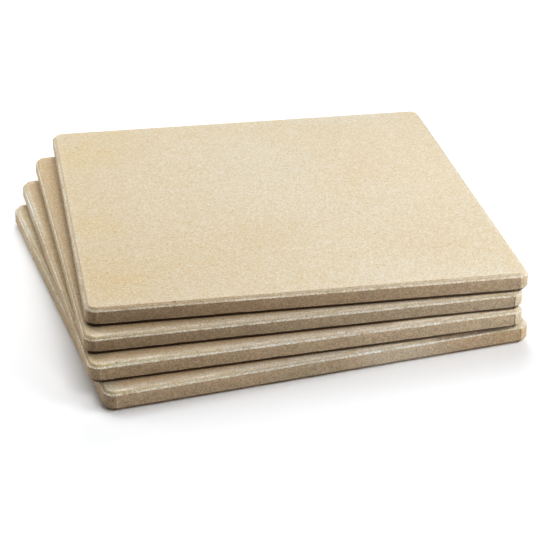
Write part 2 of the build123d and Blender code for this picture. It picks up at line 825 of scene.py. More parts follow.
    def sanded(self, at: Surface, colour: Wire) -> Wire:
        """Adds the grains' own tones to the body, grey on the walls and warm elsewhere.

        Args:
            at: What the material reads.
            colour: The body's colour.

        Returns:
            The colour's socket.
        """
        bench = at.bench
        tone = bench.fade(at.sand["Tone"], *self.grain_tones)
        tint = bench.mix(tone, self.dark_grain, self.light_grain)
        wall_tint = bench.mix(tone, *(grey(level) for level in self.wall_grains))
        on_rim = bench.fade(at.rise, -self.edge_soft, self.edge_soft)
        colour = bench.mix(1.0, colour, bench.mix(on_rim, wall_tint, tint), "MULTIPLY")
        rusty = bench.fade(at.sand["Fleck"], *self.rusty_flecks, 0.0, self.rust_share)
        colour = bench.mix(rusty, colour, linear(self.rust))
        glassy = bench.fade(at.sand["Fleck"], *self.glassy_flecks, self.glass_share, 0.0)
        shown = bench.fade(at.rise, -self.edge_soft, self.edge_soft, self.wall_glass, 1.0)
        return bench.mix(bench.times(glassy, shown), colour, linear(self.chalk))

    def chalked(self, at: Surface, colour: Wire) -> Wire:
        """Adds the chalky wear of the rim and of the burr under the wall.

        Args:
            at: What the material reads.
            colour: The sanded colour.

        Returns:
            The colour's socket.
        """
        bench = at.bench
        wear = bench.math("ADD", self.around(bench, at.own, self.look.wear),
                          bench.times(bench.uneven(at.spot, self.patch), self.wear_swing))
        high = bench.fade(wear, 0.0, 1.0, 0.3, self.bevel_run + 0.25)
        rim = bench.group(self.patterns.chalk, Place=at.spot, Rise=at.rise, Low=-0.13,
                          High=high, Ragged=0.7, Worn=0.18)["Mask"]
        height = bench.math("SUBTRACT", bench.split(at.own)[2], self.foot_height)
        foot = bench.group(self.patterns.chalk, Place=at.spot, Rise=height, Low=-0.7, High=0.1,
                           Ragged=0.25, Worn=0.05)["Mask"]
        burr = bench.times(foot, bench.fade(at.under, 0.0, 1.0, 0.5, 0.0))
        mask = bench.times(bench.math("MAXIMUM", rim, burr), self.chalk_share)
        crumbs = bench.fade(at.sand["Tone"], 0.3, 0.7)
        chalk = bench.mix(crumbs, linear(self.dull_chalk), linear(self.chalk))
        return bench.mix(mask, colour, chalk)

    def fired(self, at: Surface, colour: Wire) -> Wire:
        """Paints light and shade on the rim, side by side, and adds the stone's own marks.

        Args:
            at: What the material reads.
            colour: The chalked colour.

        Returns:
            The colour's socket.
        """
        bench = at.bench
        on_rim = bench.band(at.rise, -self.edge_soft, self.edge_soft, self.lip_run,
                            self.lip_run + 0.3)
        # Painted light and shade on the rim, side by side
        rims = self.around(bench, at.own, self.look.rim_shades)
        colour = bench.shaded(colour, bench.fade(on_rim, 0.0, 1.0, 1.0, rims))
        for mark in self.look.marks:
            colour = self.marked(at, colour, mark)
        return colour

    def marked(self, at: Surface, colour: Wire, mark: Mark) -> Wire:
        """Adds one mark, with a ragged edge.

        Args:
            at: What the material reads.
            colour: The colour so far.
            mark: What to add.

        Returns:
            The colour's socket.
        """
        bench = at.bench
        flat = bench.vector("MULTIPLY", at.own, (1.0, 1.0, 0.0))["Vector"]
        away = bench.vector("DISTANCE", flat, (mark.across, mark.along, 0.0))["Value"]
        ragged = bench.times(bench.uneven(at.own, mark.reach / 2, 3.0, 0.6), mark.reach)
        edge = bench.math("ADD", away, ragged)
        near = bench.fade(edge, mark.reach / 3, mark.reach, 1.0, 0.0)
        low, high, soft = mark.zone.value
        within = bench.band(at.rise, low - self.edge_soft, low + self.edge_soft, high, high + soft)
        return bench.mix(bench.times(near, within), colour, (*mark.tint, 1.0), "MULTIPLY", True)

    def relief(self, at: Surface, dark: Wire) -> Wire:
        """The fine relief of grains and pinholes, as a normal.

        Args:
            at: What the material reads.
            dark: The mask of pits and pinholes.

        Returns:
            The normal's socket.
        """
        height = at.bench.math("SUBTRACT", at.sand["Relief"], dark)
        return at.bench.node("ShaderNodeBump", {"Strength": 1.0, "Distance": self.bump * MM,
                                                "Height": height})["Normal"]


@dataclass(frozen=True)
class GrainFinish:
    """Loose-looking grains of sand pressed flush into a stone."""

    name: str = "sand_grains"
    tones: tuple[tuple[float, Screen], ...] = (
        (0.0, (221, 212, 190)), (0.4, (211, 194, 163)), (0.72, (201, 177, 140)),
        (0.9, (188, 154, 115)), (0.97, (140, 119, 94)))
    # Darkens the grains on the wall as the wall's colour is darkened, partly painted shade
    wall_tint: Tint = (0.72, 0.64, 0.57, 1.0)
    speckle: float = 0.25 * MM
    roughness: float = 0.8

    def material(self) -> bpy.types.Material:
        """Builds the material, which takes each grain's tone from the grain itself.

        Returns:
            The grains' material.
        """
        material, bench, shader = open_material(self.name, self.roughness)
        ramp = bench.add("ShaderNodeValToRGB", bench.value_of("tone"))
        ramp.color_ramp.interpolation = "CONSTANT"
        while len(ramp.color_ramp.elements) < len(self.tones):
            ramp.color_ramp.elements.new(0.5)
        for element, (position, colour) in zip(ramp.color_ramp.elements, self.tones):
            element.position = position
            element.color = linear(colour)
        where = bench.add("ShaderNodeTexCoord").outputs["Object"]
        shade = bench.fade(bench.clouds(where, self.speckle), 0.25, 0.75, 0.92, 1.07)
        on_wall = bench.fade(bench.value_of("rise"), *WALL_EDGE, 1.0, 0.0)
        colour = bench.mix(on_wall, ramp.outputs[0], self.wall_tint, "MULTIPLY")
        bench.feed(bench.shaded(colour, shade), shader["Base Color"])
        return material


@dataclass(frozen=True)
class Station:
    """One point of the pressed section, where a ring of the skin passes.

    The surface faces outwards by out and upwards by up. At the burr's tip hang is 1, in the
    recess under is 1, and flush is 1 where the corners are level with the walls.
    """

    inset: float
    height: float
    rise: float
    out: float
    up: float
    hang: float
    under: float
    flush: float


@dataclass(frozen=True)
class PressedSection:
    """The section of a stone from its foot up to the baking face, in metres."""

    foot_inset: float = 1.8 * MM
    foot_height: float = 2.2 * MM
    bevel_drop: float = 1.15 * MM
    bevel_width: float = 1.3 * MM
    lip_drop: float = 0.3 * MM
    lip_width: float = 0.2 * MM
    margin: float = 3.2 * MM
    burr_drop: float = 0.34 * MM
    burr_width: float = 0.18 * MM
    burr_proud: float = 0.05 * MM
    burr_height: float = 0.25 * MM
    edge_round: float = 0.22 * MM
    lip_round: float = 0.1 * MM
    spacing: float = 0.5 * MM
    round_steps: int = 3

    @property
    def burr_root(self) -> float:
        """Height at which the burr's inner face leaves the undercut."""
        return self.foot_height * (1 - self.burr_width / self.foot_inset)

    @property
    def burr_tip(self) -> float:
        """Height that an unbroken burr hangs down to."""
        return self.foot_height - self.burr_drop

    def hang(self, inset: float, height: float) -> float:
        """How much of the burr's length hangs at a point of the section.

        Args:
            inset: How far the point is inside the wall.
            height: Its height over the foot.

        Returns:
            0 off the burr to 1 at its tip.
        """
        if inset > self.burr_width:
            return 0.0
        top = self.burr_root if inset > 0 else self.foot_height + self.burr_height
        return clipped((top - height) / (top - self.burr_tip))

    def corners(self, thickness: float) -> list[tuple[float, float, float]]:
        """The corners of the section.

        Args:
            thickness: The stone's thickness.

        Returns:
            Inset, height and rounding of each corner, from the foot up.
        """
        bevel_top = thickness - self.lip_drop
        lip_inset = self.bevel_width + self.lip_width
        return [
            (self.foot_inset + self.margin, 0.0, 0.0),
            (self.foot_inset, 0.0, self.edge_round),
            (self.burr_width, self.burr_root, 0.0),
            (self.burr_width / 2, self.burr_tip, 0.0),
            (-self.burr_proud, self.burr_tip + self.burr_width / 2, 0.0),
            (-self.burr_proud, self.foot_height + self.burr_height, 0.0),
            (0.0, self.foot_height + 2 * self.burr_height, 0.0),
            (0.0, bevel_top - self.bevel_drop, self.edge_round),
            (self.bevel_width, bevel_top, self.lip_round),
            (lip_inset, thickness, self.lip_round),
            (lip_inset + self.margin, thickness, 0.0),
        ]

    def path(self, thickness: float) -> list[Vector]:
        """The rounded section as a line of points.

        Args:
            thickness: The stone's thickness.

        Returns:
            Points of inset and height, from the foot up.
        """
        corners = [(Vector(corner[:2]), corner[2]) for corner in self.corners(thickness)]
        line = [corners[0][0]]
        for (before, _), (here, soft), (after, _) in zip(corners, corners[1:], corners[2:]):
            enter = here + (before - here).normalized() * soft
            leave = here + (after - here).normalized() * soft
            self.run_to(line, enter)
            steps = self.round_steps if soft else 0
            for step in range(1, steps + 1):
                share = step / steps
                line.append(enter.lerp(here, share).lerp(here.lerp(leave, share), share))
        self.run_to(line, corners[-1][0])
        return line

    def run_to(self, line: list[Vector], end: Vector) -> None:
        """Carries the line straight on to a point, in even steps.

        Args:
            line: The points so far, which grow.
            end: The point to reach.
        """
        start = line[-1]
        steps = max(1, round((end - start).length / self.spacing))
        line.extend(start.lerp(end, step / steps) for step in range(1, steps + 1))

    def stations(self, thickness: float) -> list[Station]:
        """The rings of the skin.

        Args:
            thickness: The stone's thickness.

        Returns:
            The stations from the foot up, with the outward direction at each.
        """
        line = self.path(thickness)
        edge = Vector((0.0, thickness - self.lip_drop - self.bevel_drop))
        nearest = min(range(len(line)), key=lambda index: (line[index] - edge).length)
        walked = [0.0]
        for before, here in zip(line, line[1:]):
            walked.append(walked[-1] + (here - before).length)
        found = []
        for index, here in enumerate(line):
            along = line[min(index + 1, len(line) - 1)] - line[max(index - 1, 0)]
            along.normalize()
            rise = walked[index] - walked[nearest]
            under = 1.0 if here.x > self.burr_width / 4 and here.y < self.foot_height else 0.0
            found.append(Station(here.x, here.y, rise, along.y, along.x,
                                 self.hang(here.x, here.y), under,
                                 clipped(rise / self.edge_round)))
        return found


@dataclass(frozen=True)
class InsertCorners:
    """The outline's corners, which the mould's inserts press, seam to seam."""

    side: float
    reach: float = 4.8 * MM
    break_angle: float = math.radians(7.0)
    proud: float = 0.12 * MM
    spacing: float = 0.5 * MM
    arc_steps: int = 16

    @property
    def centre(self) -> float:
        """Distance of the arc's centre from the stone's middle lines."""
        return self.side / 2 - self.reach / (1 - math.tan(self.break_angle))

    @property
    def radius(self) -> float:
        """Radius of the corner's arc at full width."""
        return self.reach / (1 - math.tan(self.break_angle)) / math.cos(self.break_angle)

    @property
    def wall_steps(self) -> int:
        """How many spans a straight wall has."""
        return round((self.side - 2 * self.reach) / self.spacing)

    def quarter(self, inset: float, flush: float) -> list[tuple[Vector, Vector]]:
        """One wall and the corner after it, for the front of the stone.

        Args:
            inset: How far the outline is drawn in.
            flush: 0 where the corner stands proud of the wall, 1 where it is level with it.

        Returns:
            Points in plan, each with its outward direction.
        """
        level = (self.side / 2 - self.centre - self.proud - inset) / math.cos(self.break_angle)
        radius = (self.radius - inset) * (1 - flush) + level * flush
        seam = self.centre + radius * math.sin(self.break_angle)
        face = self.side / 2 - self.proud - inset
        run = []
        for step in range(self.wall_steps + 1):
            across = seam * (2 * step / self.wall_steps - 1)
            run.append((Vector((across, -face)), Vector((0.0, -1.0))))
        swing = math.pi / 2 - 2 * self.break_angle
        for step in range(self.arc_steps + 1):
            angle = self.break_angle + swing * step / self.arc_steps
            out = Vector((math.sin(angle), -math.cos(angle)))
            run.append((Vector((self.centre, -self.centre)) + out * radius, out))
        return run

    def outline(self, inset: float, flush: float = 0.0) -> list[tuple[Vector, Vector]]:
        """The whole outline.

        Args:
            inset: How far it is drawn in.
            flush: How level its corners are with its walls.

        Returns:
            Points in plan, each with its outward direction, counter-clockwise.
        """
        run = []
        quarter = self.quarter(inset, flush)
        for side in range(4):
            turn = Matrix.Rotation(side * math.pi / 2, 2)
            run.extend((turn @ point, turn @ out) for point, out in quarter)
        return run


@dataclass(frozen=True)
class Dent:
    """A hollow in the skin, at one ring and one place along it."""

    ring: int
    along: int
    radius: float
    depth: float
    shows: float


@dataclass(frozen=True)
class DentKind:
    """One kind of hollow: how many, the range of its size in millimetres, how dark it is."""

    count: int
    radius: Range
    depth: Range
    shows: float

    def drawn(self, chance: random.Random) -> tuple[float, float]:
        """Draws the radius and the depth of one hollow, in metres."""
        return chance.uniform(*self.radius) * MM, chance.uniform(*self.depth) * MM


@dataclass
class SkinMesh:
    """Vertices and faces of one stone's skin, and the values that its finish and grains read."""

    crease: float = math.radians(38.0)
    points: list[Vector] = field(default_factory=list)
    faces: list[tuple[int, ...]] = field(default_factory=list)
    values: dict[str, list[float]] = field(default_factory=dict)

    def add(self, point: Vector, rise: float, pit: float, sown: float, under: float) -> int:
        """Adds a vertex.

        Args:
            point: Its place.
            rise: Its distance over the rim's edge, in millimetres.
            pit: 1 inside a pit and 0 outside.
            sown: How thickly grains lie there, 0 to 1.
            under: 1 in the recess under the wall.

        Returns:
            The vertex's number.
        """
        self.points.append(point)
        for name, value in (("rise", rise), ("pit", pit), ("sown", sown), ("under", under)):
            self.values.setdefault(name, []).append(value)
        return len(self.points) - 1

    def build(self, name: str, place: Matrix) -> bpy.types.Object:
        """Makes the mesh object, with its place in its vertices.

        Args:
            name: The object's name.
            place: Where the stone lies.

        Returns:
            The linked object.
        """
        mesh = bpy.data.meshes.new(name)
        mesh.from_pydata([place @ point for point in self.points], [], self.faces)
        for word, values in self.values.items():
            mesh.attributes.new(word, "FLOAT", "POINT").data.foreach_set("value", values)
        mesh.shade_smooth()
        mesh.set_sharp_from_angle(angle=self.crease)
        mesh.update()
        return linked(name, mesh)


@dataclass
class BakingStone:
    """One stone of the stack: its skin, its wear and its finish."""

    node: str
    look: StoneLook
    seed: int
    side: float
    patterns: Patterns
    section: PressedSection = PressedSection()
    rest_gap: float = 0.04 * MM
    same_place: float = 0.001 * MM
    roughness: float = 0.035 * MM
    rough_scale: float = 1.7
    crumble: float = 0.2 * MM
    crumble_reach: float = 0.5 * MM
    crumble_scales: Range = (1.1, 0.35)
    burr_scales: Range = (0.12, 0.9)
    burr_loss: float = 0.9
    wall_sowing: float = 0.45
    chips: DentKind = DentKind(22, (0.6, 1.5), (0.12, 0.38), 0.0)
    wall_pits: DentKind = DentKind(24, (0.3, 0.45), (0.12, 0.25), 0.7)
    face_pits: DentKind = DentKind(14, (0.2, 0.34), (0.25, 0.5), 1.0)
    dent_reach: float = 2 * MM
    pit_clear: float = 6 * MM
    pit_points: int = 8
    pit_ragged: Range = (0.8, 1.15)
    face_spacing: float = 2.6 * MM
    foot_spacing: float = 7.8 * MM
    scatter: float = 0.3
    waviness: float = 0.02 * MM
    wave_scale: float = 0.06
    seed_steps: tuple[float, float, float] = (7.3, 3.1, 5.7)

    def __post_init__(self) -> None:
        """Seeds the stone's own wear and reads its place from the frame."""
        self.chance = random.Random(self.seed)
        self.skin = SkinMesh()
        low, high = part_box(self.node)
        middle = ((low[0] + high[0]) / 2, (low[1] + high[1]) / 2, low[2])
        self.place = StonePlace(middle, math.radians(self.look.turn))
        self.base = low[2]
        self.thickness = high[2] - low[2]
        self.outline = InsertCorners(self.side)
        self.stations = self.section.stations(self.thickness)
        self.shift = Vector([self.seed * step for step in self.seed_steps])

    def build(self) -> bpy.types.Object:
        """Builds and dresses the stone.

        Returns:
            The stone's object, riding on its body.
        """
        rings = self.sweep()
        self.cover(rings[-1], top=True)
        self.cover(rings[0], top=False)
        piece = self.skin.build(f"{self.node}_skin", self.place.matrix)
        finish = StoneFinish(f"{self.node}_finish", self.place, tuple(self.shift * 10),
                             self.patterns, self.look)
        piece.data.materials.append(finish.material())
        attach(piece, self.node)
        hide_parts(self.node)
        return piece

    def sweep(self) -> list[list[int]]:
        """Sweeps the section round the outline, with its wear.

        Returns:
            The vertex numbers of each ring, from the foot up.
        """
        dents = self.dents()
        rings = []
        for station in self.stations:
            ring: list[int] = []
            outline = self.outline.outline(station.inset, station.flush)
            for along, (plan, out) in enumerate(outline):
                last = along == len(outline) - 1
                beside = outline[0 if last else along - 1][0]
                if ring and (plan - beside).length < self.same_place:
                    ring.append(ring[0 if last else -1])
                    continue
                lost = station.hang * self.broken_off(plan)
                point = Vector((plan.x, plan.y, station.height + lost))
                away = Vector((out.x * station.out, out.y * station.out, station.up))
                drop, pit = self.wear(point, station, along, dents)
                ring.append(self.skin.add(self.seated(point - away * drop),
                                          station.rise * PER_MM, pit, self.sowing(station),
                                          station.under))
            rings.append(ring)
        for lower, upper in zip(rings, rings[1:]):
            for along in range(len(lower)):
                after = (along + 1) % len(lower)
                corners = (lower[along], lower[after], upper[after], upper[along])
                found = tuple(dict.fromkeys(corners))
                if len(found) > 2:
                    self.skin.faces.append(found)
        return rings

    def seated(self, point: Vector) -> Vector:
        """Keeps a point within the stone's own height, a hair above the stone below.

        Args:
            point: The point, which is moved.

        Returns:
            The same point.
        """
        lowest = self.rest_gap if self.base > self.rest_gap else 0.0
        point.z = min(max(point.z, lowest), self.thickness)
        return point

    def broken_off(self, plan: Vector) -> float:
        """How much of the burr has broken off at a place, most of it at the corners.

        Args:
            plan: The place, seen from above.

        Returns:
            The length that is gone at the burr's tip.
        """
        where = Vector((plan.x, plan.y, 0.0)) * PER_MM + self.shift
        wide, fine = (noise.noise(where * scale) for scale in self.burr_scales)
        corner = min(abs(plan.x), abs(plan.y)) > self.outline.centre
        share = 1.0 if corner else clipped(0.2 + (wide * 0.6 + fine * 0.4))
        return share * self.section.burr_drop * self.burr_loss

    def sowing(self, station: Station) -> float:
        """Grains lie thickly on the baking face and the rim, and thinly on the wall."""
        if station.height < self.section.foot_height + self.section.burr_height:
            return 0.0
        return 1.0 if station.rise > 0 else self.wall_sowing

    def dents(self) -> dict[int, list[Dent]]:
        """Chooses the chips along the rim's edge and the pits in the wall.

        Returns:
            The dents by each place along the outline that they reach.
        """
        chance = self.chance
        length = len(self.outline.outline(0.0))
        edge = min(range(len(self.stations)), key=lambda ring: abs(self.stations[ring].rise))
        low_ring = next(ring for ring, station in enumerate(self.stations)
                        if station.height > self.section.foot_height)
        chosen = [Dent(edge, chance.randrange(length), *self.chips.drawn(chance),
                       self.chips.shows) for _ in range(self.chips.count)]
        chosen += [Dent(chance.randrange(low_ring, len(self.stations) - 1),
                        chance.randrange(length), *self.wall_pits.drawn(chance),
                        self.wall_pits.shows) for _ in range(self.wall_pits.count)]
        reach = math.ceil(self.dent_reach / self.outline.spacing)
        by_place: dict[int, list[Dent]] = {}
        for dent in chosen:
            for step in range(-reach, reach + 1):
                by_place.setdefault((dent.along + step) % length, []).append(dent)
        return by_place

    def wear(self, point: Vector, station: Station, along: int,
             dents: dict[int, list[Dent]]) -> tuple[float, float]:
        """How far the surface has worn in at a point.

        Args:
            point: The point on the pressed shape.
            station: Its station on the section.
            along: The point's number along the outline.
            dents: The dents by place.

        Returns:
            The depth in metres, and how much of a dark pit it is.
        """
        where = point * PER_MM + self.shift
        depth = self.roughness * noise.noise(where * self.rough_scale)
        closeness = math.exp(-((station.rise / self.crumble_reach) ** 2))
        fine, wide = (noise.noise(where * scale) for scale in self.crumble_scales)
        depth += self.crumble * closeness * (abs(fine) + max(0.0, wide))
        pit = 0.0
        for dent in dents.get(along, ()):
            across = (dent.along - along) * self.outline.spacing
            down = station.rise - self.stations[dent.ring].rise
            nearness = 1 - (across * across + down * down) / (dent.radius * dent.radius)
            if nearness > 0:
                depth += dent.depth * nearness
                pit = max(pit, dent.shows * min(1.0, nearness * 2))
        return depth, pit

    def cover(self, ring: list[int], top: bool) -> None:
        """Closes the skin with the baking face or the foot.

        Args:
            ring: The edge's vertex numbers, counter-clockwise from above.
            top: True for the baking face, False for the foot.
        """
        ring = list(dict.fromkeys(ring))
        station = self.stations[-1 if top else 0]
        height = self.thickness if top else self.skin.points[ring[0]].z
        pits = self.pitted() if top else []
        loose = pits + self.spread(pits, self.face_spacing if top else self.foot_spacing)
        edge_count = len(ring)
        plan = [self.skin.points[index].xy for index in ring]
        plan += [Vector(spot[:2]) for spot in loose]
        edges = [(index, (index + 1) % edge_count) for index in range(edge_count)]
        found = geometry.delaunay_2d_cdt(plan, edges, [], 1, 1e-9)
        numbers = []
        for spot, sources in zip(found[0], found[3]):
            if sources[0] < edge_count:
                numbers.append(ring[sources[0]])
                continue
            depth, pit = loose[sources[0] - edge_count][2:]
            half = self.side / 2 - max(abs(spot.x), abs(spot.y))
            inward = max(0.0, half - station.inset) * PER_MM
            rise = station.rise * PER_MM + (inward if top else -inward)
            numbers.append(self.skin.add(Vector((spot.x, spot.y, height - depth * top)), rise,
                                         pit, float(top), float(not top)))
        for face in found[2]:
            corners = [numbers[index] for index in face]
            self.skin.faces.append(tuple(corners if top else reversed(corners)))

    def pitted(self) -> list[Spot]:
        """Small open pits in the baking face, as rings of points round a deep middle.

        Returns:
            Place, depth and darkness of each point.
        """
        spots = []
        chance = self.chance
        reach = self.side / 2 - self.pit_clear
        for _ in range(self.face_pits.count):
            middle = (chance.uniform(-reach, reach), chance.uniform(-reach, reach))
            radius, depth = self.face_pits.drawn(chance)
            spots.append((*middle, depth, self.face_pits.shows))
            for share, deep, dark in ((0.55, 0.8, self.face_pits.shows), (1.0, 0.0, 0.0)):
                for step in range(self.pit_points):
                    angle = math.tau * step / self.pit_points + share
                    out = radius * share * chance.uniform(*self.pit_ragged)
                    spots.append((middle[0] + out * math.cos(angle),
                                  middle[1] + out * math.sin(angle), depth * deep, dark))
        return spots

    def spread(self, taken: list[Spot], spacing: float) -> list[Spot]:
        """Evenly scattered points that carry a face's slight waviness.

        Args:
            taken: Points that are there already, to stay clear of.
            spacing: Distance from point to point.

        Returns:
            Place, depth and darkness of each new point.
        """
        busy = {(round(spot[0] / spacing), round(spot[1] / spacing)) for spot in taken}
        count = int((self.side / 2 - self.outline.reach) / spacing)
        loose = (-self.scatter, self.scatter)
        spots = []
        for row in range(-count, count + 1):
            for column in range(-count, count + 1):
                if (column, row) in busy:
                    continue
                across = (column + self.chance.uniform(*loose)) * spacing
                deep = (row + self.chance.uniform(*loose)) * spacing
                where = Vector((across, deep, 0.0)) * PER_MM * self.wave_scale + self.shift
                spots.append((across, deep, self.waviness * (1 + noise.noise(where)) / 2, 0.0))
        return spots


@dataclass
class GrainSowing:
    """Sand grains scattered flush over a stone, as one mesh for each body."""

    material: bpy.types.Material
    density: float = 115000.0
    smallest: float = 0.14 * MM
    largest: float = 0.34 * MM
    flatness: float = 0.24
    sunk: float = 0.45
    tilt: float = 0.25

    def __post_init__(self) -> None:
        """Builds the scattering tree once: its named inputs, and what it does with them."""
        self.tree = bpy.data.node_groups.new("sand_grain_sowing", "GeometryNodeTree")
        self.amounts = {"Density": self.density, "Smallest": self.smallest,
                        "Largest": self.largest, "Flatness": self.flatness}
        add_sockets(self.tree, "INPUT", ("Skin",), Socket.MESH)
        names = tuple(self.amounts)
        self.sockets = dict(zip(names, add_sockets(self.tree, "INPUT", names)))
        self.sockets["Seed"], = add_sockets(self.tree, "INPUT", ("Seed",), Socket.WHOLE)
        add_sockets(self.tree, "OUTPUT", ("Grains",), Socket.MESH)
        self.plant()

    def plant(self) -> None:
        """Scatters toned points on the skin, turns each into a grain and makes all real."""
        bench = NodeBench(self.tree)
        given = bench.add("NodeGroupInput").outputs
        sown = bench.node("GeometryNodeInputNamedAttribute", {"Name": "sown"},
                          data_type="FLOAT")["Attribute"]
        scatter = bench.node("GeometryNodeDistributePointsOnFaces",
                             {"Mesh": given["Skin"], "Seed": given["Seed"],
                              "Density": bench.times(sown, given["Density"])},
                             distribute_method="RANDOM")
        tone = bench.node("FunctionNodeRandomValue", {"Seed": given["Seed"]}, data_type="FLOAT")
        toned = bench.node("GeometryNodeStoreNamedAttribute",
                           {"Name": "tone", "Geometry": scatter["Points"], "Value": tone[1]},
                           data_type="FLOAT", domain="POINT")
        planted = bench.node("GeometryNodeInstanceOnPoints",
                             {"Points": toned["Geometry"], "Instance": self.grain(bench),
                              "Rotation": self.turned(bench, scatter["Rotation"]),
                              "Scale": self.sized(bench, given)})
        real = bench.node("GeometryNodeRealizeInstances", {"Geometry": planted["Instances"]})
        dressed = bench.node("GeometryNodeSetMaterial",
                             {"Geometry": real["Geometry"], "Material": self.material})
        bench.node("NodeGroupOutput", {"Grains": dressed["Geometry"]})

    def grain(self, bench: NodeBench) -> Wire:
        """One round grain, sunk into the surface it lies on."""
        ball = bench.node("GeometryNodeMeshIcoSphere", {})["Mesh"]
        return bench.node("GeometryNodeTransform", {
            "Geometry": ball, "Translation": (0.0, 0.0, -self.sunk)})["Geometry"]

    def turned(self, bench: NodeBench, rotation: Wire) -> Wire:
        """A grain's turn: any way round, and tilted a little off the surface."""
        turn = bench.node("FunctionNodeRandomValue", {"Max": (self.tilt, self.tilt, math.tau)},
                          data_type="FLOAT_VECTOR")[0]
        return bench.node("FunctionNodeRotateRotation", {"Rotation": rotation, "Rotate By": turn},
                          rotation_space="LOCAL")["Rotation"]

    def sized(self, bench: NodeBench, given: Wires) -> Wire:
        """A grain's size, flat on the surface."""
        size = bench.node("FunctionNodeRandomValue", {
            2: given["Smallest"], 3: given["Largest"]}, data_type="FLOAT")[1]
        return bench.joined(size, size, bench.times(size, given["Flatness"]))

    def sow(self, stone: bpy.types.Object, body: str, seed: int) -> bpy.types.Object:
        """Sows one stone.

        Args:
            stone: The stone's skin.
            body: The body that the grains ride on.
            seed: What makes this stone's grains its own.

        Returns:
            The grains as one plain mesh.
        """
        carrier = linked(f"{body}_sowing", stone.data)
        modifier = carrier.modifiers.new("sowing", "NODES")
        modifier.node_group = self.tree
        for name, amount in {"Seed": seed, **self.amounts}.items():
            modifier[self.sockets[name]] = amount
        graph = bpy.context.evaluated_depsgraph_get()
        mesh = bpy.data.meshes.new_from_object(carrier.evaluated_get(graph))
        bpy.data.objects.remove(carrier)
        mesh.name = f"{body}_grains"
        grains = linked(mesh.name, mesh)
        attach(grains, body)
        return grains


# The chalky ridges of the rim's lip and edge round a front left corner, and the tan band
# between them.
FRONT_LEFT_RIDGES = (Mark(-91.0, -92.0, 9.0, (1.2, 1.26, 1.27), Zone.LIP_RIDGE),
                     Mark(-91.0, -92.0, 9.0, (1.02, 0.96, 0.84), Zone.BEVEL_BAND),
                     Mark(-91.0, -92.0, 9.0, (1.16, 1.2, 1.22), Zone.EDGE_RIDGE))


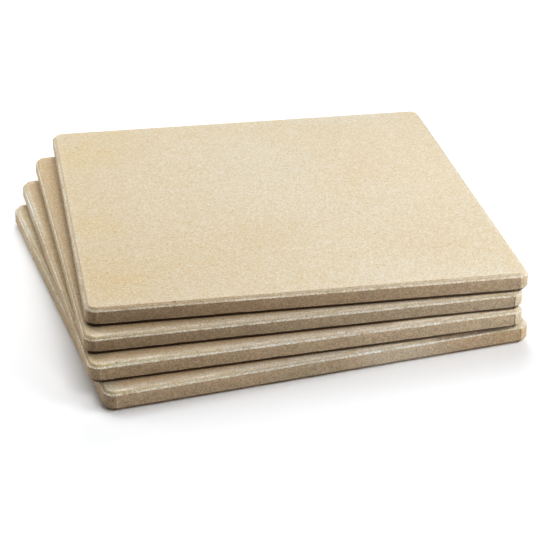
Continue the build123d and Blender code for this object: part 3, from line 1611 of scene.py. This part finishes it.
@dataclass(frozen=True)
class StackPlan:
    """What the picture shows of the stack and the frame doesn't say in words."""

    looks: dict[str, StoneLook] = field(default_factory=lambda: {
        "bottom_stone": StoneLook(
            turn=0.0, wear=(0.47, 0.7, 0.5, 0.36), wall_shades=(0.905, 0.87, 1.0, 0.95),
            seams=(0.95, 0.95, 1.05, 1.2), warm_side=(-0.3, 1.0, 0.0), recess=0.85, slope=0.1,
            corner_dust=(0.15, 0.3, 0.2, 0.0), corner_shades=(1.2, 1.1, 1.0, 0.93),
            toast=(0.0, 0.2, 0.2, 0.0), rim_shades=(0.98, 1.0, 1.0, 0.93),
            marks=(*FRONT_LEFT_RIDGES,
                   # Painted shadow of the second stone's front right corner on the rim
                   Mark(64.0, -94.0, 26.0, (0.665, 0.63, 0.635), Zone.UPPER_RIM),
                   Mark(-65.0, -94.0, 35.0, (1.07, 1.06, 1.05), Zone.RIM),
                   Mark(0.0, -94.0, 50.0, (0.95, 0.96, 1.0), Zone.RIM),
                   Mark(36.0, -95.0, 30.0, (1.15, 1.24, 1.34), Zone.WALL),
                   Mark(88.0, -95.0, 18.0, (0.95, 0.94, 0.885), Zone.WALL),
                   Mark(-8.0, -95.0, 26.0, (0.95, 0.98, 0.99), Zone.WALL),
                   Mark(-94.0, 75.0, 25.0, (1.1, 1.18, 1.28), Zone.RIM),
                   Mark(-94.0, 15.0, 40.0, (0.95, 0.955, 0.95), Zone.RIM),
                   Mark(-88.0, 15.0, 36.0, (1.0, 0.95, 0.9), Zone.FACE),
                   Mark(-95.0, 15.0, 34.0, (0.92, 0.94, 0.93), Zone.WALL),
                   Mark(-95.0, 60.0, 22.0, (1.0, 1.05, 1.07), Zone.WALL))),
        "second_stone": StoneLook(
            turn=-3.2, wear=(0.45, 0.75, 0.5, 0.37), wall_shades=(0.878, 0.85, 1.0, 0.99),
            seams=(0.6, 0.95, 1.05, 1.3), warm_side=(-0.9, 0.2, 0.0), slope=0.7,
            corner_dust=(0.4, 0.3, 0.2, 0.0), corner_shades=(1.07, 1.1, 1.0, 1.0),
            rim_shades=(1.02, 1.0, 1.0, 0.93),
            marks=(*FRONT_LEFT_RIDGES,
                   # Painted light on the margin near the right corner
                   Mark(62.0, -92.0, 38.0, (1.45, 1.42, 1.41), Zone.MARGIN),
                   Mark(-65.0, -94.0, 35.0, (1.03, 1.06, 1.06), Zone.RIM),
                   Mark(20.0, -94.0, 75.0, (0.98, 1.0, 1.07), Zone.RIM),
                   Mark(-94.0, 62.0, 34.0, (1.095, 1.19, 1.3), Zone.RIM),
                   Mark(-94.0, -50.0, 45.0, (0.955, 0.97, 0.965), Zone.RIM),
                   Mark(-95.0, 70.0, 28.0, (1.06, 1.14, 1.22), Zone.WALL),
                   Mark(-95.0, 42.0, 22.0, (0.93, 0.93, 0.91), Zone.WALL))),
        "third_stone": StoneLook(
            turn=-5.75, wear=(0.4, 0.75, 0.5, 0.38), wall_shades=(0.76, 0.84, 1.0, 1.03),
            seams=(0.6, 0.95, 1.05, 1.3), warm_side=(-0.8, 0.6, 0.0),
            streaks=(1.0, 0.5, 0.4, 0.0), corner_shades=(1.15, 1.1, 1.0, 0.97),
            rim_shades=(1.0, 1.0, 1.0, 0.93),
            marks=(*FRONT_LEFT_RIDGES,
                   Mark(20.0, -94.0, 75.0, (0.96, 0.97, 1.01), Zone.RIM),
                   Mark(-60.0, -90.0, 38.0, (0.95, 0.95, 0.925), Zone.FACE),
                   Mark(0.0, -90.0, 32.0, (1.05, 1.07, 1.07), Zone.FACE))),
        "top_stone": StoneLook(
            turn=-8.23, wear=(0.47, 0.7, 0.4, 0.6), wall_shades=(0.75, 0.83, 1.0, 1.04),
            seams=(1.0, 0.95, 1.05, 1.35), warm_side=(-0.9, -0.3, 0.0),
            streaks=(0.1, 0.1, 0.1, 0.1), toast=(0.0, 0.0, 0.0, 0.0),
            shelter=(0.0, 0.0, 0.0, 0.0), corner_dust=(0.3, 0.3, 0.2, 0.0),
            corner_shades=(1.1, 1.1, 1.0, 0.98), rim_shades=(0.99, 1.0, 1.0, 0.88),
            marks=(Mark(-65.0, -94.0, 40.0, (1.0, 0.97, 0.96), Zone.RIM),
                   Mark(-83.0, -20.0, 17.0, (1.0, 0.975, 0.925), Zone.FACE),
                   Mark(-80.0, -76.0, 19.0, (1.0, 0.975, 0.92), Zone.FACE),
                   Mark(-84.0, 62.0, 24.0, (1.0, 0.985, 0.94), Zone.FACE),
                   Mark(80.0, 25.0, 75.0, (1.015, 0.99, 0.955), Zone.FACE),
                   Mark(82.0, -55.0, 60.0, (0.985, 0.973, 0.955), Zone.FACE),
                   Mark(30.0, -95.0, 120.0, (1.03, 0.99, 0.965), Zone.WALL))),
    })
    first_seed: int = 11


class StoneStack:
    """The four stones and their grains."""

    def __init__(self, plan: StackPlan, patterns: Patterns) -> None:
        """Plans the stones, all as wide as the lowest one, which lies square.

        Args:
            plan: The stones' looks and seeds.
            patterns: The patterns that their materials share.
        """
        low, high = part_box(next(iter(plan.looks)))
        self.side = high[0] - low[0]
        self.plan = plan
        self.patterns = patterns

    def build(self) -> list[bpy.types.Object]:
        """Builds every stone with its own seed, and sows it.

        Returns:
            The finished pieces.
        """
        sowing = GrainSowing(GrainFinish().material())
        pieces = []
        for seed, (node, look) in enumerate(self.plan.looks.items(), self.plan.first_seed):
            stone = BakingStone(node, look, seed, self.side, self.patterns).build()
            pieces += [stone, sowing.sow(stone, node, seed)]
        return pieces


@dataclass(frozen=True)
class SoftLight:
    """A square studio softbox, placed as the camera sees it."""

    name: str
    bearing: float
    elevation: float
    distance: float
    width: float
    watts: float

    def place(self, aim: Vector, facing: float) -> None:
        """Hangs the light.

        Args:
            aim: What it points at.
            facing: The camera's own bearing, in degrees from +Y towards +X.
        """
        lamp = bpy.data.lights.new(self.name, "AREA")
        lamp.energy = self.watts
        lamp.size = self.width
        holder = linked(self.name, lamp)
        away = heading(facing + self.bearing, self.elevation)
        holder.location = aim + away * self.distance
        holder.rotation_euler = away.to_track_quat("Z", "Y").to_euler()
        holder.visible_camera = False


@dataclass(frozen=True)
class ToneCurve:
    """A photograph's tone curve: deeper darks, and lights that ease off towards white."""

    toe: float = 1.5
    shoulder: float = 0.4
    levels: tuple[float, ...] = (0.03, 0.08, 0.16, 0.3, 0.5, 0.75)

    def graded(self, level: float) -> float:
        """The curve's value at a level, from 0 to 1."""
        raised = level ** self.toe
        return (1 + self.shoulder) * raised / (1 + self.shoulder * raised)


@dataclass(frozen=True)
class Studio:
    """The floor, the lights and the camera."""

    aim: tuple[float, float, float] = (-1.863 * MM, -26.724 * MM, 17.6 * MM)
    bearing: float = 18.917
    elevation: float = 27.138
    distance: float = 773.8 * MM
    roll: float = 0.383
    lens: float = 114.515
    film: float = 36.0
    clip_start: float = 10 * MM
    tone: ToneCurve = ToneCurve()
    floor_side: float = 6.0
    floor_colour: Tint = (0.925, 0.93, 0.94, 1.0)
    lights: tuple[SoftLight, ...] = (
        SoftLight("back_left_softbox", -42.0, 48.0, 1.2, 0.5, 6.46),
        SoftLight("low_back_softbox", 0.0, 28.0, 1.2, 0.5, 5.74),
        SoftLight("front_right_softbox", 150.0, 48.0, 1.2, 0.5, 5.12),
        SoftLight("overhead_softbox", 0.0, 75.0, 1.2, 0.5, 3.18),
        SoftLight("right_softbox", 105.0, 40.0, 0.5, 0.25, 0.95),
        SoftLight("low_left_strip", -80.0, 8.0, 0.5, 0.25, 1.0),
        SoftLight("low_right_strip", 105.0, 8.0, 0.5, 0.25, 0.8),
    )

    def build(self) -> None:
        """Sets up the studio."""
        self.floor()
        self.air()
        self.grade()
        for light in self.lights:
            light.place(Vector(self.aim), self.bearing)
        self.camera()

    def floor(self) -> None:
        """Lays a plain pale floor."""
        half = self.floor_side / 2
        mesh = bpy.data.meshes.new("studio_floor")
        corners = [(-half, -half, 0.0), (half, -half, 0.0), (half, half, 0.0), (-half, half, 0.0)]
        mesh.from_pydata(corners, [], [(0, 1, 2, 3)])
        material, _, shader = open_material("studio_floor", roughness=1.0, gloss=0.0)
        shader["Base Color"].default_value = self.floor_colour
        mesh.materials.append(material)
        floor = linked("studio_floor", mesh)

    def air(self) -> None:
        """Leaves the studio dark beyond its lights, and shows white where no floor is."""
        world = bpy.data.worlds.new("studio_air")
        world.use_nodes = True
        bench = NodeBench(world.node_tree)
        sky = world.node_tree.nodes["Background"].inputs
        bench.feed(bench.add("ShaderNodeLightPath").outputs["Is Camera Ray"], sky["Strength"])
        sky["Color"].default_value = grey(1.0)
        bpy.context.scene.world = world

    def grade(self) -> None:
        """Sets the picture's tones: a plain screen curve with a photograph's contrast."""
        view = bpy.context.scene.view_settings
        view.view_transform = "Standard"
        view.use_curve_mapping = True
        combined = view.curve_mapping.curves[3]
        for level in self.tone.levels:
            combined.points.new(level, self.tone.graded(level))
        view.curve_mapping.update()

    def camera(self) -> None:
        """Stands the camera where the picture was taken from."""
        ahead = heading(self.bearing, -self.elevation)
        level = ahead.cross(Vector((0.0, 0.0, 1.0))).normalized()
        over = level.cross(ahead)
        tilt = math.radians(self.roll)
        right = level * math.cos(tilt) + over * math.sin(tilt)
        above = over * math.cos(tilt) - level * math.sin(tilt)
        lens = bpy.data.cameras.new("studio_camera")
        lens.lens = self.lens
        lens.sensor_width = self.film
        lens.clip_start = self.clip_start
        holder = linked("studio_camera", lens)
        axes = Matrix((right, above, -ahead)).transposed().to_4x4()
        holder.matrix_world = Matrix.Translation(Vector(self.aim) - ahead * self.distance) @ axes
        bpy.context.scene.camera = holder


def main() -> None:
    """Builds the stack and its studio."""
    logging.basicConfig(level=logging.INFO, format="%(name)s: %(message)s")
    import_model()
    for piece in StoneStack(StackPlan(), Patterns()).build():
        LOG.info("%s: %d faces", piece.name, len(piece.data.polygons))
    Studio().build()
    LOG.info("studio set up")


if __name__ == "__main__":
    main()
